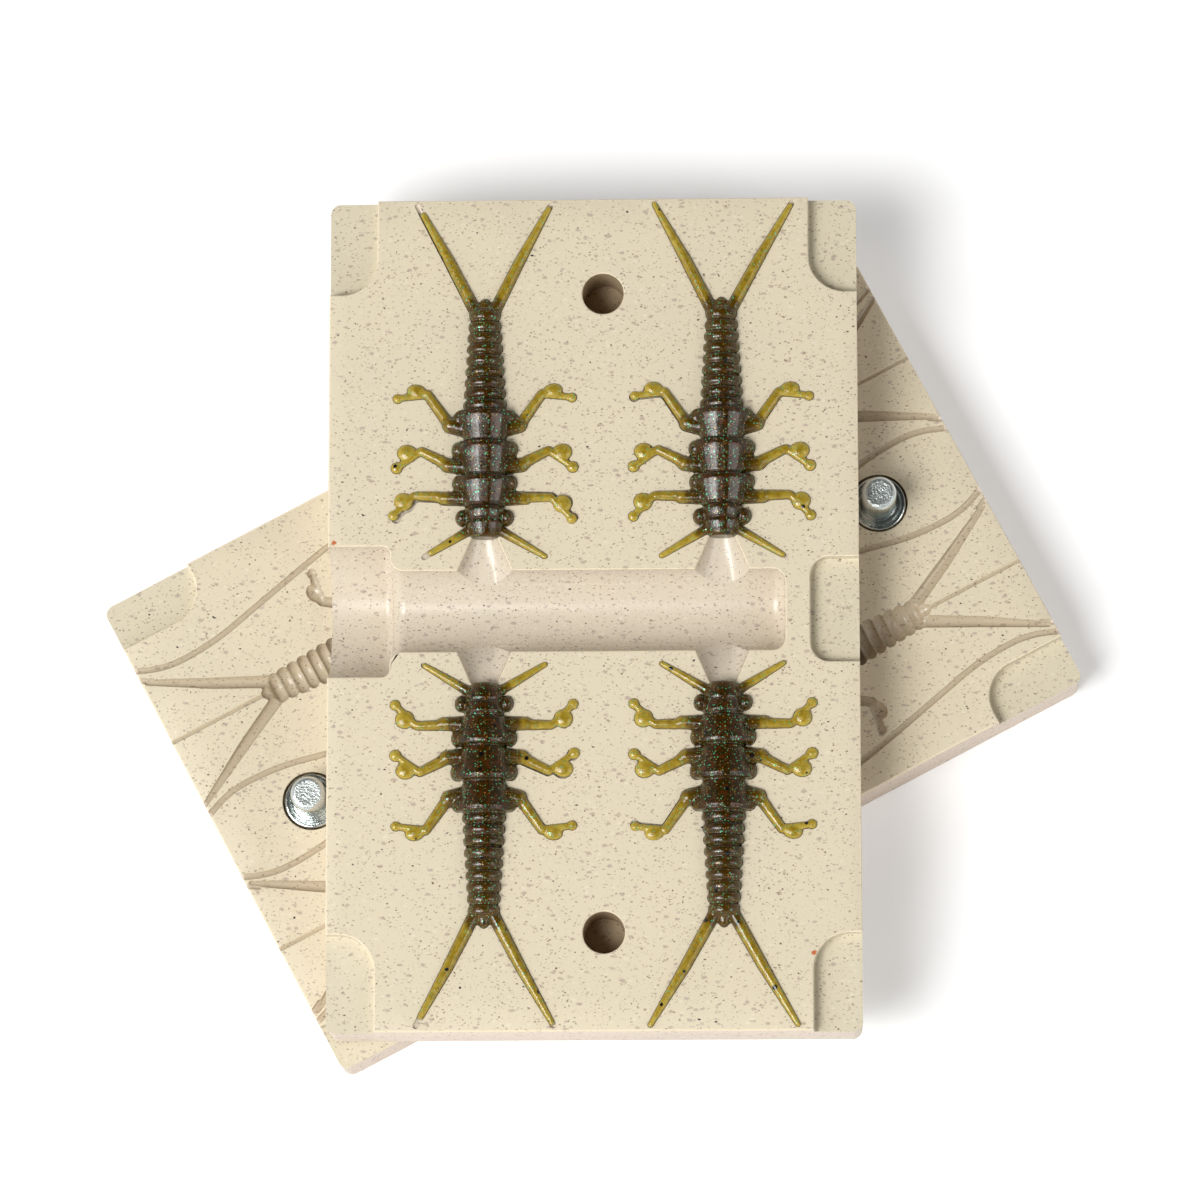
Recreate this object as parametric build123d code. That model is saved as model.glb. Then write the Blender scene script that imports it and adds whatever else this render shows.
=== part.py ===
from build123d import *
import os
from math import asin, cos, degrees, pi, radians, sin

os.makedirs("parts", exist_ok=True)

# A two-part mould for casting four soft nymph lures at a time, in millimetres.
# Each half is one milled plate of cast stone. The lower half lies on the table, face up,
# with its two steel guide pins. The upper half lies across it, face up, between the pins,
# with four cast lures still in its cavities.
# Each half is modelled with its parting face at z = 0, its length along Y, and its
# injection port on the -X side.

# Plates
plate_width = 80.0
plate_length = 127.0
plate_thickness = 12.7
plate_corner_radius = 1.5
plate_edge_break = 0.25
pattern_offset = 1.55

# Guide pins and the blind bores that they enter when the mould is closed
pin_radius = 2.65
pin_height = 8.0
pin_tip_round = 0.85
pin_base_fillet = 0.35
pin_beyond_width = 8.75
flange_radius = 4.25
flange_thickness = 1.6
flange_rim_round = 0.5
flange_dish = 0.45
flange_rim_width = 0.9
flange_below_face = 0.15
stub_radius = 2.4
stub_length = 6.0
stub_end_break = 0.4
counterbore_gap = 0.2
stub_gap = 0.02
guide_bore_gap = 0.5
guide_bore_spare_depth = 0.6
bore_mouth_break = 0.15
resting_gap = 0.5
upper_shift = 2.74

# Injection port and sprue trough, half round, along X
port_radius = 10.0
port_length = 9.4
port_corner_radius = 1.2
sprue_radius = 6.2
sprue_shoulder_radius = 2.0
sprue_end_radius = 2.0
sprue_end_past_column = 9.45

# Gates from the trough to the snouts
gate_snout_half_width = 1.95
gate_trough_half_width = 4.1
gate_depth_share = 0.86
gate_start_share = 0.5
gate_past_snout = 0.3

# Pry pockets
pocket_depth = 2.2
corner_pocket_width = 7.3
corner_pocket_length = 14.65
corner_pocket_radius = 5.5
side_pocket_width = 7.4
side_pocket_length = 16.0
side_pocket_radius = 2.9

# Lure, measured from its snout along the body
column_spacing = 35.8
snout_to_centre = 11.1
casting_gap = 0.05
body_flatness = 0.8
body_sides = 12
snout_radius = 1.95
head_radius = 2.95
neck_radius = 2.35
head_length = 4.85
thorax_waist_radius = 3.3
thorax_lobe_radius = 4.75
thorax_lengths = (4.6, 5.35, 4.8)
abdomen_length = 15.6
abdomen_start_radius = 3.3
abdomen_end_radius = 2.4
abdomen_rib_count = 9
abdomen_rib_depth = 0.45
tail_nub_radius = 0.65
tail_nub_length = 1.8
tail_nub_setback = 0.15

# Outlines along the lure. Head: share of its length and of its radius.
# Thorax segment: share of its length and of the way from waist to lobe.
# Rib: share of the pitch where its foot ends and where its crest starts and ends.
head_outline = ((0.2, 0.93), (0.5, 1.0), (0.8, 0.93))
segment_outline = ((0.04, 0.0), (0.45, 0.6), (0.78, 1.0), (0.93, 0.76), (1.0, -0.07))
rib_outline = (0.06, 0.32, 0.68)
eye_radius = 0.95
eye_out = 3.45
eye_back = 3.15
antenna_root = (2.4, 1.1)
antenna_tip = (9.1, -2.85)
antenna_radii = (0.6, 0.38)
fork_root_out = 1.5
fork_tip_out = 10.4
fork_radii = (0.95, 0.5)
fork_root_overlap = 0.8
fork_tip_margin = 0.9
fork_vent_radius = 0.35
fork_vent_overlap = 1.0
fork_vent_step = 0.05

# Limbs are faceted; a knuckle's height and top are shares of its radius
limb_sides = 6
knuckle_sides = 8
limb_share = 0.85
knuckle_height = 0.85
knuckle_top = 0.6

# Legs as chains of (out, back, radius) from the body to the toe, front leg first
legs = (
    ((3.2, 6.3, 0.95), (9.9, 6.5, 0.75), (12.0, 6.1, 1.2), (13.3, 3.4, 0.75)),
    ((3.4, 11.1, 0.95), (6.7, 11.7, 0.9), (9.6, 13.6, 0.75), (11.8, 13.3, 1.2), (13.3, 11.0, 0.75)),
    ((4.0, 16.9, 0.95), (8.6, 22.3, 0.8), (10.3, 23.1, 1.2), (13.1, 21.8, 0.75)),
)

# Vents of the lower half, shallow grooves.
# The side vents pass the toes of a lure on both sides, on their way to the short edge.
vent_half_width = 0.45
vent_floor_half_width = 0.2
vent_depth = 0.3
tail_vent_radius = 0.35
tail_vent_rise = 0.1
vent_edge_out = 12.5
vent_waist_out = 10.6
vent_waist_back = 7.2
vent_flare_out = 11.1
vent_flare_back = 14.5
vent_side_out = 16.0
vent_side_back = 35.5
vent_end_out = 16.9
vent_end_back = 50.5

# Values that follow from the sizes above
pin_spacing = plate_width + 2 * pin_beyond_width
pin_places = [(pattern_offset, side * pin_spacing / 2) for side in (-1, 1)]
cross_angle = degrees(asin((plate_width / 2 + pin_radius + resting_gap) / (pin_spacing / 2)))
guide_bore_radius = pin_radius + guide_bore_gap
guide_bore_depth = pin_height + guide_bore_spare_depth
counterbore_radius = flange_radius + counterbore_gap
counterbore_depth = flange_below_face + flange_thickness
columns = (pattern_offset - column_spacing / 2, pattern_offset + column_spacing / 2)
thorax_end = head_length + sum(thorax_lengths)
abdomen_end = thorax_end + abdomen_length
fork_root_back = abdomen_end - fork_root_overlap
fork_length = plate_length / 2 - snout_to_centre - abdomen_end - fork_tip_margin
beyond = 2.0


def ringed(frame, stations, sides, flatten=1.0):
    """A closed solid with one polygon ring at each (distance, radius) along a frame's Z."""
    rings = []
    for distance, radius in stations:
        ring = []
        for corner in range(sides):
            turn = 2 * pi * corner / sides
            local = Vector(radius * cos(turn), radius * flatten * sin(turn), distance)
            ring.append(frame.from_local_coords(local))
        rings.append(ring)
    faces = [Face(Wire.make_polygon(rings[0])), Face(Wire.make_polygon(rings[-1]))]
    for near, far in zip(rings, rings[1:]):
        for corner in range(sides):
            after = (corner + 1) % sides
            faces.append(Face(Wire.make_polygon([near[corner], near[after], far[after], far[corner]])))
    return Solid(Shell(faces))


def rod(start, end, start_radius, end_radius):
    """A tapered rod between two points, its widest edges in the parting face."""
    run = Vector(*end) - Vector(*start)
    across = Vector(0, 0, 1).cross(run)
    frame = Plane(origin=start, x_dir=across, z_dir=run)
    return ringed(frame, ((0, start_radius), (run.length, end_radius)), limb_sides)


def knuckle(x, y, radius):
    """A flattened ball on the parting face, at a joint or a toe."""
    height = radius * knuckle_height
    top = radius * knuckle_top
    stations = ((-height, top), (0, radius), (height, top))
    return ringed(Plane(origin=(x, y, 0)), stations, knuckle_sides)


def lure_body(grow):
    """Head, three thorax segments, ribbed abdomen and tail nub along Y."""
    stations = [(-grow, snout_radius)]
    for share, radius in head_outline:
        stations.append((head_length * share, head_radius * radius))
    stations.append((head_length, neck_radius))
    at = head_length
    stand_out = thorax_lobe_radius - thorax_waist_radius
    for length in thorax_lengths:
        for share, way in segment_outline:
            stations.append((at + length * share, thorax_waist_radius + stand_out * way))
        at += length
    pitch = abdomen_length / abdomen_rib_count
    foot, crest_start, crest_end = rib_outline
    for rib in range(abdomen_rib_count):
        share = (rib + 0.5) / abdomen_rib_count
        crest = abdomen_start_radius + (abdomen_end_radius - abdomen_start_radius) * share
        stations.append((at + pitch * foot, crest - abdomen_rib_depth))
        stations.append((at + pitch * crest_start, crest))
        stations.append((at + pitch * crest_end, crest))
        at += pitch
    stations.append((at, abdomen_end_radius - abdomen_rib_depth))
    stations.append((at + tail_nub_setback, tail_nub_radius))
    stations.append((at + tail_nub_length - tail_nub_radius / 2, tail_nub_radius))
    stations.append((at + tail_nub_length + grow, tail_nub_radius / 2))
    frame = Plane(origin=(0, 0, 0), x_dir=(1, 0, 0), z_dir=(0, 1, 0))
    return ringed(frame, [(y, radius + grow) for y, radius in stations], body_sides, body_flatness)


def lure_side(grow):
    """Eye, antenna, legs and tail fork of one side."""
    side = [knuckle(eye_out, eye_back, eye_radius + grow)]
    side.append(rod((*antenna_root, 0), (*antenna_tip, 0), antenna_radii[0] + grow, antenna_radii[1] + grow))
    for leg in legs:
        for (x1, y1, r1), (x2, y2, r2) in zip(leg, leg[1:]):
            side.append(rod((x1, y1, 0), (x2, y2, 0), r1 * limb_share + grow, r2 * limb_share + grow))
        for x, y, r in leg[1:]:
            side.append(knuckle(x, y, r + grow))
    fork_tip = (fork_tip_out, abdomen_end + fork_length, 0)
    side.append(rod((fork_root_out, fork_root_back, 0), fork_tip, fork_radii[0] + grow, fork_radii[1] + grow))
    return side


def lure(grow):
    """The whole casting; grown a little, it is also the tool that cuts its cavity."""
    side = lure_side(grow)
    other = [mirror(limb, about=Plane.YZ) for limb in side]
    return lure_body(grow) + side + other


def lure_places():
    """Where the four lures lie: two above the trough and two below, snouts to the middle."""
    places = []
    for x in columns:
        places.append(Pos(x, snout_to_centre, 0))
        places.append(Pos(x, -snout_to_centre, 0) * Rot(0, 0, 180))
    return places


def blank():
    """The plain plate, face up, with its corners rounded and its edges broken."""
    plate = extrude(RectangleRounded(plate_width, plate_length, plate_corner_radius), -plate_thickness)
    rims = plate.faces().sort_by(Axis.Z)[-1].edges() + plate.faces().sort_by(Axis.Z)[0].edges()
    return chamfer(rims, plate_edge_break)


def pockets():
    """Four corner pockets and one side pocket, where the halves are pried apart."""
    cuts = []
    for sx in (-1, 1):
        for sy in (-1, 1):
            outline = RectangleRounded(2 * corner_pocket_width, 2 * corner_pocket_length, corner_pocket_radius)
            place = Pos(sx * plate_width / 2, sy * plate_length / 2, -pocket_depth)
            cuts.append(place * extrude(outline, pocket_depth + beyond))
    outline = RectangleRounded(2 * side_pocket_width, side_pocket_length, side_pocket_radius)
    cuts.append(Pos(plate_width / 2, 0, -pocket_depth) * extrude(outline, pocket_depth + beyond))
    return cuts


def trough():
    """Port and sprue as one turned tool about X."""
    left = -plate_width / 2 - beyond
    shoulder = -plate_width / 2 + port_length
    end = columns[1] + sprue_end_past_column
    outline = make_face(Polyline(
        (left, 0), (left, port_radius), (shoulder, port_radius),
        (shoulder, sprue_radius), (end, sprue_radius), (end, 0), close=True))

    rounds = (
        (shoulder, port_radius, port_corner_radius),
        (shoulder, sprue_radius, sprue_shoulder_radius),
        (end, sprue_radius, sprue_end_radius),
    )
    for x, y, radius in rounds:
        outline = fillet(outline.vertices().sort_by_distance((x, y, 0))[0], radius)
    return revolve(outline, axis=Axis.X, revolution_arc=360)


def gate():
    """A tapered half-round gate along Y, from a snout into the trough."""
    run = snout_to_centre - sprue_radius
    flare = (gate_trough_half_width - gate_snout_half_width) / run
    far = sprue_radius * gate_start_share
    wide = gate_snout_half_width + flare * (snout_to_centre - far)
    snout_end = Plane(origin=(0, snout_to_centre + gate_past_snout, 0), z_dir=(0, 1, 0))
    trough_end = Plane(origin=(0, far, 0), z_dir=(0, 1, 0))
    ends = (
        trough_end * Ellipse(wide, wide * gate_depth_share),
        snout_end * Ellipse(gate_snout_half_width, gate_snout_half_width * gate_depth_share),
    )
    return loft(ends, ruled=True)


def cavities():
    """Four lure cavities with their gates, and the trough."""
    tool = lure(casting_gap)
    cuts = [trough()]
    for place in lure_places():
        cuts.append(place * tool)
    for x in columns:
        cuts.append(Pos(x, 0, 0) * gate())
        cuts.append(Pos(x, 0, 0) * Rot(0, 0, 180) * gate())
    return cuts


def upper_half():
    """The plate that is filled with lures: cavities, trough, pockets and two blind bores."""
    plate = blank()
    for cut in pockets() + cavities():
        plate = plate - cut
    for x, y in pin_places:
        bore = Cylinder(guide_bore_radius, guide_bore_depth + beyond, align=(Align.CENTER, Align.CENTER, Align.MIN))
        plate = plate - Pos(x, y, -guide_bore_depth) * bore
        mouth = Cone(
            guide_bore_radius, guide_bore_radius + bore_mouth_break + beyond, bore_mouth_break + beyond,
            align=(Align.CENTER, Align.CENTER, Align.MIN))
        plate = plate - Pos(x, y, -bore_mouth_break) * mouth
    return plate


def vent_path(x, side, end):
    """One side vent and its place, as a wire from beyond the short edge towards the middle."""
    def at(out, back):
        return Vector(x + side * out, end * (plate_length / 2 - back), 0)

    edge = ThreePointArc(
        at(vent_edge_out, 0), at(vent_waist_out, vent_waist_back), at(vent_flare_out, vent_flare_back))
    lead_in = Line(edge @ 0 - (edge % 0) * beyond, edge @ 0)
    flank = Line(edge @ 1, at(vent_side_out, vent_side_back))
    tail = TangentArc(flank @ 1, at(vent_end_out, vent_end_back), tangent=flank % 1)
    return Wire([lead_in, edge, flank, tail])


def vents():
    """Side vents past the toes, a thin vent behind each tail and run-outs of the forks."""
    cuts = []
    for x in columns:
        for end in (-1, 1):
            for side in (-1, 1):
                path = vent_path(x, side, end)
                frame = Plane(origin=path @ 0, x_dir=(path % 0).cross(Vector(0, 0, 1)), z_dir=path % 0)
                section = make_face(Polyline(
                    (-vent_half_width, vent_depth), (-vent_half_width, 0), (-vent_floor_half_width, -vent_depth),
                    (vent_floor_half_width, -vent_depth), (vent_half_width, 0), (vent_half_width, vent_depth),
                    close=True))
                cuts.append(sweep(frame * section, path=path))
                tip_y = snout_to_centre + abdomen_end + fork_length
                slope = (fork_tip_out - fork_root_out) / (abdomen_end + fork_length - fork_root_back)
                near = (x + side * (fork_tip_out - slope * fork_vent_overlap), end * (tip_y - fork_vent_overlap), 0)
                far = (x + side * (fork_tip_out + slope * beyond), end * (tip_y + beyond), 0)
                cuts.append(rod(near, far, fork_radii[1] - fork_vent_step, fork_vent_radius))
            start = (x, end * (snout_to_centre + abdomen_end + tail_nub_length / 2), tail_vent_rise)
            finish = (x, end * (plate_length / 2 + beyond), tail_vent_rise)
            cuts.append(rod(start, finish, tail_vent_radius, tail_vent_radius))
    return cuts


def lower_half():
    """The vented plate that carries the guide pins in counterbored blind bores."""
    plate = blank()
    for cut in pockets() + cavities() + vents():
        plate = plate - cut
    low = (Align.CENTER, Align.CENTER, Align.MIN)
    seat_depth = counterbore_depth + stub_length + stub_end_break
    for x, y in pin_places:
        counterbore = Cylinder(counterbore_radius, counterbore_depth + beyond, align=low)
        plate = plate - Pos(x, y, -counterbore_depth) * counterbore
        plate = plate - Pos(x, y, -seat_depth) * Cylinder(stub_radius + stub_gap, seat_depth, align=low)
    return plate


def guide_pin():
    """One turned steel pin: stub, dished flange and round-edged pin, its face line at z = 0."""
    top = -flange_below_face
    floor = -counterbore_depth
    end = floor - stub_length
    rim_in = flange_radius - flange_rim_width
    dish = top - flange_dish
    turn = sin(radians(45))
    lines = [
        Line((0, end), (stub_radius - stub_end_break, end)),
        Line((stub_radius - stub_end_break, end), (stub_radius, end + stub_end_break)),
        Line((stub_radius, end + stub_end_break), (stub_radius, floor)),
        Line((stub_radius, floor), (flange_radius, floor)),
        Line((flange_radius, floor), (flange_radius, top - flange_rim_round)),
        ThreePointArc(
            (flange_radius, top - flange_rim_round),
            (flange_radius - flange_rim_round * (1 - turn), top - flange_rim_round * (1 - turn)),
            (flange_radius - flange_rim_round, top)),
        Line((flange_radius - flange_rim_round, top), (rim_in, top)),
        Line((rim_in, top), (pin_radius + pin_base_fillet, dish)),
        ThreePointArc(
            (pin_radius + pin_base_fillet, dish),
            (pin_radius + pin_base_fillet * (1 - turn), dish + pin_base_fillet * (1 - turn)),
            (pin_radius, dish + pin_base_fillet)),
        Line((pin_radius, dish + pin_base_fillet), (pin_radius, pin_height - pin_tip_round)),
        ThreePointArc(
            (pin_radius, pin_height - pin_tip_round),
            (pin_radius - pin_tip_round * (1 - turn), pin_height - pin_tip_round * (1 - turn)),
            (pin_radius - pin_tip_round, pin_height)),
        Line((pin_radius - pin_tip_round, pin_height), (0, pin_height)),
        Line((0, pin_height), (0, end)),
    ]
    profile = Plane.XZ * make_face(Wire(lines))
    return revolve(profile, axis=Axis.Z, revolution_arc=360)


# The lower half is turned so that its pins just clear the long sides of the upper half,
# and the pair is centred on the origin, with the table at z = 0.
cross = radians(cross_angle)
corner_x = plate_width / 2 - plate_corner_radius
corner_y = plate_length / 2 - plate_corner_radius
lower_reach = corner_x * sin(cross) + corner_y * cos(cross) + plate_corner_radius
lower_y = (lower_reach - plate_length / 2 - upper_shift) / 2
lower_place = Pos(0, lower_y, plate_thickness) * Rot(0, 0, -cross_angle)
upper_place = Pos(pattern_offset * cos(cross), lower_y + upper_shift, 2 * plate_thickness)

nodes = {
    "lower_mould_half": lower_place * lower_half(),
    "upper_mould_half": upper_place * upper_half(),
}
pin = guide_pin()
for name, (x, y) in zip(("guide_pin_left", "guide_pin_right"), pin_places):
    nodes[name] = lower_place * Pos(x, y, 0) * pin
casting = lure(0)
lure_names = ("cast_lure_back_left", "cast_lure_front_left", "cast_lure_back_right", "cast_lure_front_right")
for name, place in zip(lure_names, lure_places()):
    nodes[name] = upper_place * place * casting

for name, node in nodes.items():
    export_step(node, f"parts/{name}.step")
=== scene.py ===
import math

import bmesh
import bpy
import numpy as np
from mathutils import Matrix, Vector


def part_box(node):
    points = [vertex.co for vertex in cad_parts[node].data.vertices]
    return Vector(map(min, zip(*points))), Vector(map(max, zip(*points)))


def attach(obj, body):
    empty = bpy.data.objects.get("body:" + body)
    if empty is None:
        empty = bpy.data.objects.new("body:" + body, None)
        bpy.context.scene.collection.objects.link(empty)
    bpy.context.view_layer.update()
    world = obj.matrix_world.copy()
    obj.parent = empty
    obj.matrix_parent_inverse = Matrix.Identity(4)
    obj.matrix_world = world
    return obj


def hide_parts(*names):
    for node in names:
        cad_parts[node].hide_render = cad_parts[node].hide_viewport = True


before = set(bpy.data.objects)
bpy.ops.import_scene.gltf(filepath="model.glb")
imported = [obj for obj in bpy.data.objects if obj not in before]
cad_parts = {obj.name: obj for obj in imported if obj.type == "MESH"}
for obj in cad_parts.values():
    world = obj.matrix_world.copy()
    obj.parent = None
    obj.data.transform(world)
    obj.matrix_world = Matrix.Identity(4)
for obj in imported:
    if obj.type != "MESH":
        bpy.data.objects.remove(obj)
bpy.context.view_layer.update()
scene = bpy.context.scene
mm = 0.001
beyond = 2.0  # how far a cutting tool stands out of the plate, in mm
print("frame loaded:", sorted(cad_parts))


# Small helpers: colours, node trees, meshes. Shapes are made in mm and placed in metres.
def paint(red, green, blue):
    def linear(value):
        share = value / 255
        return share / 12.92 if share <= 0.04045 else ((share + 0.055) / 1.055) ** 2.4
    return (linear(red), linear(green), linear(blue), 1.0)


def addNode(tree, kind, inputs=None, **settings):
    made = tree.nodes.new(kind)
    for key, value in settings.items():
        setattr(made, key, value)
    for key, value in (inputs or {}).items():
        if isinstance(value, bpy.types.NodeSocket):
            tree.links.new(value, made.inputs[key])
        else:
            made.inputs[key].default_value = value
    return made


def maths(tree, operation, first, second=0.0, clamp=False):
    made = addNode(tree, "ShaderNodeMath", {0: first, 1: second}, operation=operation)
    made.use_clamp = clamp
    return made.outputs[0]


def mixColour(tree, share, first, second, blend="MIX"):
    made = tree.nodes.new("ShaderNodeMix")
    made.data_type = "RGBA"
    made.blend_type = blend
    for key, value in ((0, share), (6, first), (7, second)):
        if isinstance(value, bpy.types.NodeSocket):
            tree.links.new(value, made.inputs[key])
        else:
            made.inputs[key].default_value = value
    return made.outputs[2]


def newMaterial(name):
    material = bpy.data.materials.new(name)
    material.use_nodes = True
    tree = material.node_tree
    return material, tree, tree.nodes["Principled BSDF"]


def inMillimetres(tree):
    where = addNode(tree, "ShaderNodeTexCoord").outputs["Object"]
    return addNode(tree, "ShaderNodeMapping", {"Vector": where, "Scale": (1000, 1000, 1000)}).outputs[0]


def newObject(name, mesh):
    made = bpy.data.objects.new(name, mesh)
    scene.collection.objects.link(made)
    return made


def meshOf(name, bm):
    mesh = bpy.data.meshes.new(name)
    bm.to_mesh(mesh)
    bm.free()
    return mesh


def addRings(shape, rings):
    points, faces = shape
    for number, ring in enumerate(rings):
        start, count = len(points), len(ring)
        points.extend(ring)
        if number == 0:
            faces.append(tuple(range(start, start + count))[::-1])
        else:
            for corner in range(count):
                after = (corner + 1) % count
                faces.append((start - count + corner, start - count + after, start + after, start + corner))
    faces.append(tuple(range(start, start + count)))


def solidOf(name, rings, cutEvery=0.0):
    shape = ([], [])
    addRings(shape, rings)
    mesh = bpy.data.meshes.new(name)
    mesh.from_pydata(shape[0], [], shape[1])
    bm = bmesh.new()
    bm.from_mesh(mesh)
    if cutEvery:
        for way in (Vector((1, 0, 0)), Vector((0, 1, 0))):
            for step in range(-12, 13):
                parts = bm.verts[:] + bm.edges[:] + bm.faces[:]
                bmesh.ops.bisect_plane(bm, geom=parts, plane_co=way * (step * cutEvery + 0.013), plane_no=way)
    bmesh.ops.recalc_face_normals(bm, faces=bm.faces)
    bm.to_mesh(mesh)
    bm.free()
    return newObject(name, mesh)


def arc(centre, radius, start, end, steps):
    points = []
    for step in range(steps + 1):
        turn = math.radians(start + (end - start) * step / steps)
        points.append((centre[0] + radius * math.cos(turn), centre[1] + radius * math.sin(turn)))
    return points


def roundedOutline(halfX, halfY, radius, steps=8):
    points = []
    for sx, sy, start in ((1, 1, 0), (-1, 1, 90), (-1, -1, 180), (1, -1, 270)):
        corner = (sx * (halfX - radius), sy * (halfY - radius))
        points += arc(corner, radius, start, start + 90, steps)
    return points


def spunRings(profile, steps):
    rings = []
    for radius, height in profile:
        ring = []
        for step in range(steps):
            turn = 2 * math.pi * step / steps
            ring.append((radius * math.cos(turn), radius * math.sin(turn), height))
        rings.append(ring)
    return rings


def plainMesh(piece):
    graph = bpy.context.evaluated_depsgraph_get()
    mesh = bpy.data.meshes.new_from_object(piece.evaluated_get(graph))
    piece.modifiers.clear()
    return mesh


def dropObject(piece):
    bpy.data.objects.remove(piece, do_unlink=True)


def carve(body, tools):
    for tool in tools:
        cut = body.modifiers.new(tool.name, "BOOLEAN")
        cut.operation = "DIFFERENCE"
        cut.solver = "MANIFOLD"
        cut.object = tool
    body.data = plainMesh(body)
    for tool in tools:
        dropObject(tool)


def inputOf(tree, name):
    for item in tree.interface.items_tree:
        if item.item_type == "SOCKET" and item.in_out == "INPUT" and item.name == name:
            return item.identifier


def newGeometryTree(name, sizes):
    tree = bpy.data.node_groups.new(name, "GeometryNodeTree")
    for key, kind, value in sizes:
        socket = tree.interface.new_socket(key, in_out="INPUT", socket_type=kind)
        if value is not None:
            socket.default_value = value
    tree.interface.new_socket("Geometry", in_out="OUTPUT", socket_type="NodeSocketGeometry")
    return tree, tree.nodes.new("NodeGroupInput"), tree.nodes.new("NodeGroupOutput")


def runTree(piece, tree, values):
    grown = piece.modifiers.new(tree.name, "NODES")
    grown.node_group = tree
    for key, value in values.items():
        grown[inputOf(tree, key)] = value
    return plainMesh(piece)


# Camera: the photograph's own place, found from the plates' edges
cameraSet = {
    "place": (31.560, -160.841, 924.475),
    "roll": -0.0073,
    "pitch": 0.1804,
    "yaw": 0.0339,
    "lens": 182.586,
    "sensor": 36.0,
}


def addCamera():
    data = bpy.data.cameras.new("camera")
    data.lens = cameraSet["lens"]
    data.sensor_width = cameraSet["sensor"]
    data.clip_start = 0.05
    data.clip_end = 20.0
    camera = newObject("camera", data)
    turn = Matrix.Rotation(cameraSet["roll"], 4, "Z")
    turn = turn @ Matrix.Rotation(cameraSet["pitch"], 4, "X")
    turn = turn @ Matrix.Rotation(cameraSet["yaw"], 4, "Y")
    camera.matrix_world = Matrix.Translation(Vector(cameraSet["place"]) * mm) @ turn
    scene.camera = camera


# Cast stone: a cream acrylic body full of brown and grey grains, satin where it is milled
stoneSet = {
    "cream": paint(226, 213, 185),
    "creamCool": paint(220, 209, 183),
    "grain": paint(150, 124, 102),
    "mauveGrain": paint(176, 157, 142),
    "darkGrain": paint(106, 82, 64),
    "blackGrain": paint(44, 38, 38),
    "paleGrain": paint(240, 230, 208),
    "orangeGrain": paint(196, 100, 44),
    # scale per mm, radius in cells, share of the cells, softness, turn, stretch, grain, strength
    "layers": (
        (0.80, 0.34, 0.45, 0.7, 0.4, 1.5, "paleGrain", 0.45),
        (0.62, 0.31, 0.50, 0.5, 1.1, 1.8, "mauveGrain", 0.70),
        (2.60, 0.32, 0.40, 0.5, 0.0, 1.0, "grain", 0.50),
        (1.45, 0.29, 0.50, 0.4, 2.0, 1.7, "grain", 0.72),
        (1.15, 0.24, 0.42, 0.4, 0.8, 2.2, "darkGrain", 0.60),
        (1.00, 0.17, 0.34, 0.3, 2.7, 1.5, "darkGrain", 0.95),
        (0.42, 0.080, 0.45, 0.3, 1.6, 1.3, "blackGrain", 1.0),
    ),
    # Two rust-coloured grains of the upper face, in mm
    "rustGrains": ((-38.39, 12.38, 25.4), (33.5, -50.09, 25.4)),
}


def grains(tree, where, scale, radius, share, softness, seed, turn=0.0, stretch=1.0):
    shifted = addNode(tree, "ShaderNodeMapping", {
        "Vector": where, "Location": (seed, 2.7 * seed, 4.1 * seed), "Rotation": (0.4 * turn, 0.0, turn),
        "Scale": (1.0, stretch, 1.0)})
    cells = addNode(tree, "ShaderNodeTexVoronoi", {"Vector": shifted.outputs[0], "Scale": scale})
    random = addNode(tree, "ShaderNodeSeparateColor", {0: cells.outputs["Color"]})
    size = addNode(tree, "ShaderNodeMapRange", {
        "Value": random.outputs[1], "To Min": radius * 0.45, "To Max": radius * 1.25})
    inner = maths(tree, "MULTIPLY", size.outputs[0], 1.0 - softness)
    spot = addNode(tree, "ShaderNodeMapRange", {
        "Value": cells.outputs["Distance"], "From Min": size.outputs[0], "From Max": inner,
        "To Min": 0.0, "To Max": 1.0})
    chosen = maths(tree, "LESS_THAN", random.outputs[0], share)
    return maths(tree, "MULTIPLY", spot.outputs[0], chosen)


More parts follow.
